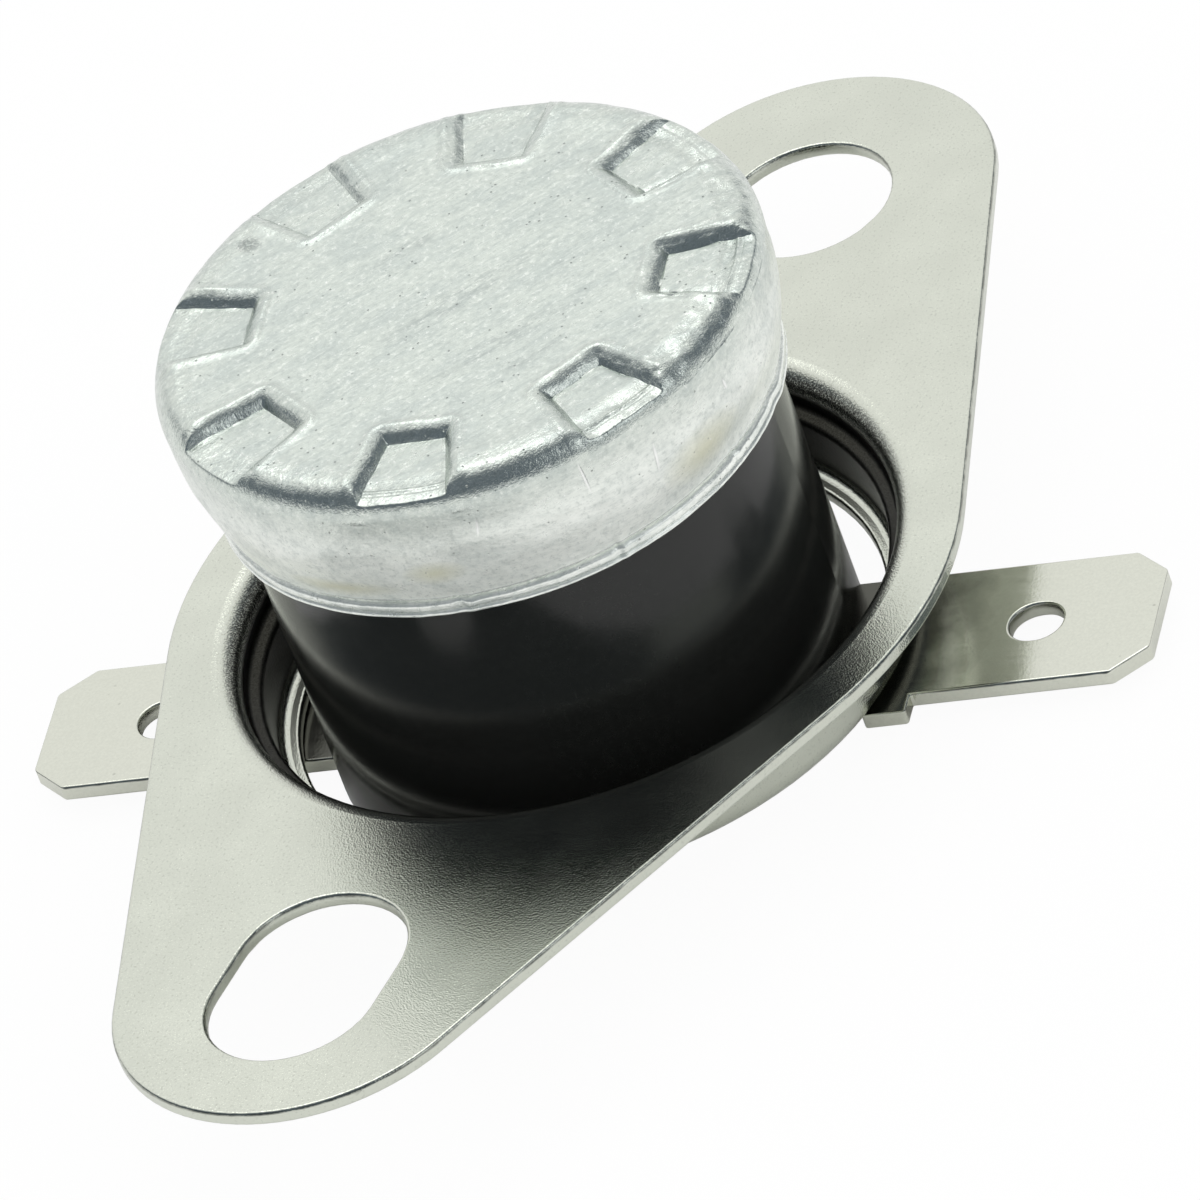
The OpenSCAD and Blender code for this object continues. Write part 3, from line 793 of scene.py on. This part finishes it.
        # Three and five waves round the cap, which lean with the height
        wave = 0.5 + 0.25 * math.sin(3 * a + 0.7 * z) + 0.25 * math.sin(5 * a - 1.1 * z + 2)
        inward = WOBBLE * wave * ease(z, *WOBBLE_Z)
        for direction, height, width, tall, depth in SKIRT_DENTS:
            along = math.radians(turned_by(angle, direction)) * CAP_R
            inward += depth * hump(along, 0, width) * hump(z, height, tall)
        return inward

    @staticmethod
    def nick(angle, z):
        """How far the rim's nicks reach in from its true radius, less their burrs."""
        inward = 0
        for direction, height, width, depth in RIM_NICKS:
            along = math.radians(turned_by(angle, direction)) * RIM_R
            burr = BURR_SHARE * hump(along, BURR_PLACE * width, width)
            inward += depth * (hump(along, 0, width) - burr) * hump(z, height, NICK_H)
        return inward

    def drawn(self, radius, angle, z):
        """Radius and height of a place on the uneven side."""
        a = math.radians(angle)
        radius -= self.wobble(angle, z) + self.nick(angle, z)
        wave = self.wave(radius * math.cos(a), radius * math.sin(a), z)
        radius -= WAVE_H * (1 + wave) * ease(z, *SIDE_WAVE_Z)
        return radius, z + ease(z, *RIM_WAVER_Z) * RIM_WAVER * math.sin(RIM_WAVES * a + RIM_WAVES_START)

    def add_ring(self, r, z, straight=0.0, press=False, side=False, worked=0.0):
        """Adds a ring of points, pressed as on the face or uneven as on the side.

        straight turns it into the straight inner end of each dimple.
        """
        ring = []
        for k in range(DIMPLES):
            direction = DIMPLE_TURN + k * self.SECTOR
            for turn in self.columns(r):
                angle = direction + turn
                bow = 1 / math.cos(math.radians(min(abs(turn), self.HALF_END))) - 1
                radius, height, work = r * (1 + straight * bow), z, worked
                if press:
                    height, punched = self.pressed(radius, turn, direction, z)
                    work = max(work, punched)
                    height -= self.sunk(radius, angle, work)
                if side:
                    radius, height = self.drawn(radius, angle, z)
                a = math.radians(angle)
                ring.append(len(self.points))
                self.points.append((radius * math.cos(a) * MM, radius * math.sin(a) * MM, height * MM))
                self.worked.append(work)
        self.rings.append(ring)

    def add_middle(self, z):
        """Adds the one point in the middle of a face."""
        self.rings.append([len(self.points)])
        self.points.append((0, 0, z * MM))
        self.worked.append(0.0)

    @staticmethod
    def skirt_r(z):
        """Radius of the side: straight at the top, and tapered from there to the crease."""
        share = (SKIRT_TOP_Z - z) / (SKIRT_TOP_Z - CREASE_Z)
        return CAP_R - (CAP_R - RIM_R) * max(share, 0) ** SKIRT_POWER

    @staticmethod
    def rim_r(z):
        """Radius of the rolled band: out from the crease, with a fine groove between two rolls."""
        out = RIM_BULGE * ease(z, *RIM_BULGE_Z) - CREASE_DEPTH * hump(z, CREASE_Z, CREASE_W)
        under = RIM_FOOT * (1 - ease(z, RIM_Z, RIM_Z + RIM_FOOT_H))
        return RIM_R + out - RIM_GROOVE * hump(z, RIM_GROOVE_Z, RIM_GROOVE_W) - under

    def build_face(self):
        self.add_middle(self.face_z(0))
        for r in self.PLAIN_RADII:
            self.add_ring(r, self.face_z(r), ease(r, *self.STRAIGHT_R))
        for r in self.INNER_END_RADII:
            self.add_ring(r, self.face_z(r), 1.0, press=True)
        for r in self.FLOOR_RADII:
            straight, worked = ease(r, *self.ROUND_R), ease(r, *self.WORKED_R)
            self.add_ring(r, self.face_z(r), straight, press=True, worked=worked)

    def build_edge(self):
        tilts = [math.asin((r - EDGE_START_R) / EDGE_R) for r in self.EDGE_RADII]
        tilts += [math.radians(t) for t in self.EDGE_TILTS]
        for tilt in tilts:
            z = self.face_z(EDGE_START_R) - EDGE_R * (1 - math.cos(tilt))
            self.add_ring(EDGE_START_R + EDGE_R * math.sin(tilt), z, press=True,
                          worked=ease(tilt, *self.WORKED_TILT))

    def build_side(self):
        for z in self.SIDE_HEIGHTS:
            self.add_ring(self.skirt_r(z), z, side=True)
        for z in self.RIM_HEIGHTS:
            self.add_ring(self.skirt_r(z) if z > CREASE_Z else self.rim_r(z), z, side=True, worked=RIM_WORKED)

    def build_inside(self):
        """Rings of the plain surface inside, from the foot of the rim up to the middle."""
        self.add_ring(RIM_FOOT_R, RIM_Z)
        self.add_ring(RIM_R - CAP_WALL, RIM_Z + self.INSIDE_FOOT_RISE)
        for z in self.INSIDE_HEIGHTS:
            self.add_ring(self.skirt_r(z) - CAP_WALL, z)
        round_r = EDGE_R - CAP_WALL
        for tilt in (math.radians(t) for t in self.INSIDE_TILTS):
            z = CAP_TOP - EDGE_R + round_r * math.cos(tilt)
            self.add_ring(EDGE_START_R + round_r * math.sin(tilt), z)
        self.add_middle(CAP_TOP - CAP_WALL)

    def faces(self):
        """Faces between each ring and the next: triangles at the two middles, and four-cornered elsewhere."""
        faces = []
        for upper, lower in zip(self.rings, self.rings[1:]):
            count = max(len(upper), len(lower))
            for i in range(count):
                j = (i + 1) % count
                corners = [upper[i % len(upper)], lower[i % len(lower)],
                           lower[j % len(lower)], upper[j % len(upper)]]
                faces.append(list(dict.fromkeys(corners)))
        return faces


def mesh_piece(name, points, faces, material, sharp_from):
    """A smooth mesh object whose edges over an angle stay sharp."""
    mesh = bpy.data.meshes.new(name)
    mesh.from_pydata(points, [], faces)
    mesh.validate()
    mesh.shade_smooth()
    mesh.set_sharp_from_angle(angle=math.radians(sharp_from))
    mesh.materials.append(material)
    piece = bpy.data.objects.new(name, mesh)
    bpy.context.scene.collection.objects.link(piece)
    return piece


def make_cap():
    shape = CapMesh()
    shape.build_face()
    shape.build_edge()
    shape.build_side()
    shape.build_inside()
    piece = mesh_piece("pressed_cap", shape.points, shape.faces(), aluminium_cap(), CAP_SHARP_FROM)
    marks = piece.data.attributes.new("worked", "FLOAT", "POINT")
    marks.data.foreach_set("value", shape.worked)
    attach(piece, "housing")
    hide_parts("cap")


def dress_outer_parts():
    """The bracket, the base, and the blades with their rivets, which share a plate."""
    dress("bracket", nickel_bracket(), BRACKET_EDGE_R)
    dress("base", phenolic_base())
    blade = nickel_blade()
    for side in ("right", "left"):
        dress("terminal_" + side, blade, BLADE_EDGE_R)
        dress("rivet_" + side, blade)


def dress_inner_parts():
    finishes = {name: plain_grain(name, *values) for name, values in INNER_FINISHES.items()}
    for node, finish in INNER_PARTS.items():
        dress(node, finishes[finish])


def towards(azimuth, elevation):
    """The unit vector to a direction given in degrees."""
    a, e = math.radians(azimuth), math.radians(elevation)
    return Vector((math.cos(e) * math.cos(a), math.cos(e) * math.sin(a), math.sin(e)))


def facing(back):
    """The turn of a camera or lamp that looks against a direction."""
    return (-back).to_track_quat("-Z", "Y").to_matrix()


def make_camera():
    back = towards(CAMERA_AZIMUTH, CAMERA_ELEVATION)
    turned = facing(back) @ Matrix.Rotation(math.radians(CAMERA_ROLL), 3, "Z")
    data = bpy.data.cameras.new("camera")
    data.lens = CAMERA_LENS
    data.clip_start, data.clip_end = CAMERA_CLIPS
    camera = bpy.data.objects.new("camera", data)
    camera.matrix_world = Matrix.Translation(AIM + back * CAMERA_DISTANCE) @ turned.to_4x4()
    bpy.context.scene.collection.objects.link(camera)
    bpy.context.scene.camera = camera


def make_world():
    """A white surround for the eye, a plain light, and in reflections a white room with a dark ceiling."""
    world = bpy.data.worlds.new("surround")
    g = Graph(world)
    world.cycles.sampling_method = "NONE"
    path = g.nodes.new("ShaderNodeLightPath")
    direction = g.nodes.new("ShaderNodeTexCoord").outputs["Generated"]
    middle = towards(CAMERA_AZIMUTH + 180, FAR_ELEVATION)
    from_middle = g.vector_step("DOT_PRODUCT", direction, middle).outputs["Value"]
    far = g.span(from_middle, *(math.cos(math.radians(t)) for t in FAR_REACH), kind="SMOOTHSTEP")
    low = g.span(g.z_of(direction), *(math.sin(math.radians(t)) for t in LOW_REACH), kind="SMOOTHSTEP")
    room = g.mix(g.highest(far, low), DARK_STUDIO, BRIGHT_STUDIO)
    lit = g.mix(path.outputs["Is Glossy Ray"], MATT_LIGHT, room)
    seen = g.mix(path.outputs["Is Camera Ray"], lit, SEEN_SURROUND)
    g.feed(g.nodes["Background"].inputs["Color"], seen)
    bpy.context.scene.world = world


def make_floor():
    """White paper, which glows for the eye so that it stays white and keeps a faint shadow."""
    material = bpy.data.materials.new("floor_paper")
    g = Graph(material)
    paper = g.nodes["Principled BSDF"]
    g.feed(paper.inputs["Base Color"], FLOOR_WHITE)
    g.feed(paper.inputs["Roughness"], FLOOR_ROUGHNESS)
    g.feed(paper.inputs["Specular IOR Level"], 0.0)
    glow = g.nodes.new("ShaderNodeEmission")
    path = g.nodes.new("ShaderNodeLightPath")
    mixed = g.nodes.new("ShaderNodeMixShader")
    g.feed(mixed.inputs["Fac"], g.product(path.outputs["Is Camera Ray"], FLOOR_GLOW))
    g.feed(mixed.inputs[1], paper.outputs[0])
    g.feed(mixed.inputs[2], glow.outputs[0])
    g.feed(g.nodes["Material Output"].inputs["Surface"], mixed.outputs[0])
    bpy.ops.mesh.primitive_plane_add(size=FLOOR_SIZE, location=(0, 0, -FLOOR_GAP * MM))
    floor = bpy.context.object
    floor.name = "floor"
    floor.data.materials.append(material)


def soft_lamp(name, azimuth, elevation, distance, size, power):
    """A square lamp that looks at the part from a direction in degrees, and a distance in metres."""
    back = towards(azimuth, elevation)
    data = bpy.data.lights.new(name, "AREA")
    data.size = size
    data.energy = power
    lamp = bpy.data.objects.new(name, data)
    lamp.matrix_world = Matrix.Translation(back * distance) @ facing(back).to_4x4()
    bpy.context.scene.collection.objects.link(lamp)


def make_lights():
    soft_lamp("lamp_back", azimuth=38, elevation=60, distance=0.8, size=0.3, power=0.45)
    soft_lamp("lamp_right", azimuth=-95, elevation=40, distance=0.8, size=0.45, power=0.7)


make_cap()
dress_outer_parts()
dress_inner_parts()
make_camera()
make_world()
make_floor()
make_lights()
bpy.context.scene.view_settings.view_transform = "Standard"
